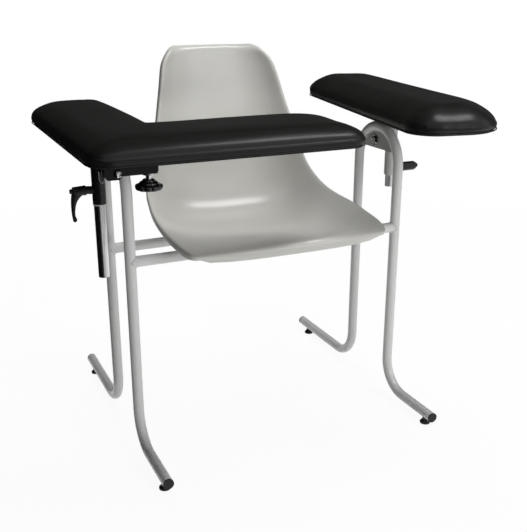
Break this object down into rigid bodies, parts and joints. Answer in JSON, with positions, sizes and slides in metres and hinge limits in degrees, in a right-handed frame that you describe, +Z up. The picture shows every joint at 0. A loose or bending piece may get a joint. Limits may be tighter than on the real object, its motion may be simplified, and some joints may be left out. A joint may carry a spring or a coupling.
{
  "type": "phlebotomy chair",
  "caption": "Blood-draw chair: moulded bucket seat on a bent tube frame, height-adjustable padded arms on clamped posts, the L-shaped arm flipping up.",
  "frame": {"origin": "on the floor, midway between the two side frames and midway between the front and rear legs", "axes": "+Z up, the chair faces -Y, +X from the L-shaped flip-up arm to the straight arm"},
  "size_m": [0.9291, 0.7318, 0.8077],
  "materials": {
    "frame_paint": "gloss light grey enamel",
    "black_plastic": "black moulded plastic",
    "seat_plastic": "satin warm grey moulded plastic",
    "rubber": "black rubber",
    "bright_steel": "zinc plated",
    "black_paint": "gloss black enamel",
    "chrome": "polished",
    "black_board": "board in black backing cloth",
    "edge_band": "black edge band",
    "vinyl": "black vinyl, soft sheen"
  },
  "bodies": {
    "chair": {"left_side_frame": "frame_paint", "right_side_frame": "frame_paint", "left_gusset": "frame_paint", "right_gusset": "frame_paint", "front_crossbar": "frame_paint", "rear_crossbar": "frame_paint", "front_foot_plugs": "black_plastic", "rear_foot_plugs": "black_plastic", "front_left_glide": "black_plastic", "rear_left_glide": "black_plastic", "front_right_glide": "black_plastic", "rear_right_glide": "black_plastic", "seat_shell": "seat_plastic", "left_seat_rail": "frame_paint", "right_seat_rail": "frame_paint", "seat_rubbers": "rubber", "seat_screws": "bright_steel", "left_sleeve": "black_paint", "right_sleeve": "black_paint", "left_sleeve_ring": "frame_paint", "right_sleeve_ring": "frame_paint", "left_sleeve_bracket": "frame_paint", "right_sleeve_bracket": "frame_paint", "left_bracket_bolt": "bright_steel", "right_bracket_bolt": "bright_steel"},
    "left_clamp": {"left_clamp_lever": "black_plastic"},
    "right_clamp": {"right_clamp_lever": "black_plastic"},
    "left_post": {"left_post": "chrome", "left_post_collar": "chrome"},
    "left_arm": {"left_arm_tube": "black_paint", "arm_bumper": "rubber", "hinge_plate": "frame_paint", "weld_nut": "bright_steel"},
    "left_top": {"hinge_channel": "black_paint", "pivot_bolt": "chrome", "pivot_nut": "bright_steel", "channel_screws": "bright_steel", "left_arm_board": "black_board", "left_arm_edge_band": "edge_band", "left_arm_pad": "vinyl"},
    "levelling_stud": {"levelling_stud": "chrome"},
    "levelling_knob": {"levelling_knob": "black_plastic"},
    "right_post": {"right_post": "chrome", "right_post_collar": "chrome"},
    "right_arm": {"right_mount_plate": "black_paint", "right_plate_screws": "bright_steel", "right_arm_board": "black_board", "right_arm_edge_band": "edge_band", "right_arm_pad": "vinyl"}
  },
  "joints": [
    {"name": "left_clamp_turn", "type": "hinge", "parent": "chair", "child": "left_clamp", "pos_m": [-0.3435, 0, 0.5515], "axis": [1, 0, 0], "range_deg": [-90, 90]},
    {"name": "right_clamp_turn", "type": "hinge", "parent": "chair", "child": "right_clamp", "pos_m": [0.3435, 0, 0.5365], "axis": [1, 0, 0], "range_deg": [-90, 90]},
    {"name": "left_post_slide", "type": "slide", "parent": "chair", "child": "left_post", "axis": [0, 0, 1], "range_m": [0, 0.15]},
    {"name": "left_arm_swivel", "type": "hinge", "parent": "left_post", "child": "left_arm", "pos_m": [-0.3435, 0, 0.64], "axis": [0, 0, 1], "range_deg": [-15, 8]},
    {"name": "left_top_flip", "type": "hinge", "parent": "left_arm", "child": "left_top", "pos_m": [-0.366, -0.237, 0.6335], "axis": [0, -1, 0], "range_deg": [0, 95]},
    {"name": "stud_travel", "type": "slide", "parent": "left_arm", "child": "levelling_stud", "axis": [0, 0, 1], "range_m": [-0.00226, 0]},
    {"name": "knob_turn", "type": "hinge", "parent": "levelling_stud", "child": "levelling_knob", "pos_m": [-0.3095, -0.237, 0.605], "axis": [0, 0, 1], "range_deg": [-540, 0]},
    {"name": "right_post_slide", "type": "slide", "parent": "chair", "child": "right_post", "axis": [0, 0, 1], "range_m": [-0.012, 0.035]},
    {"name": "right_arm_swivel", "type": "hinge", "parent": "right_post", "child": "right_arm", "pos_m": [0.3435, 0, 0.65], "axis": [0, 0, 1], "range_deg": [-6, 20]}
  ],
  "couplings": [
    {"joint": "stud_travel", "follows": "knob_turn", "m_per_rad": 0.00023873}
  ]
}
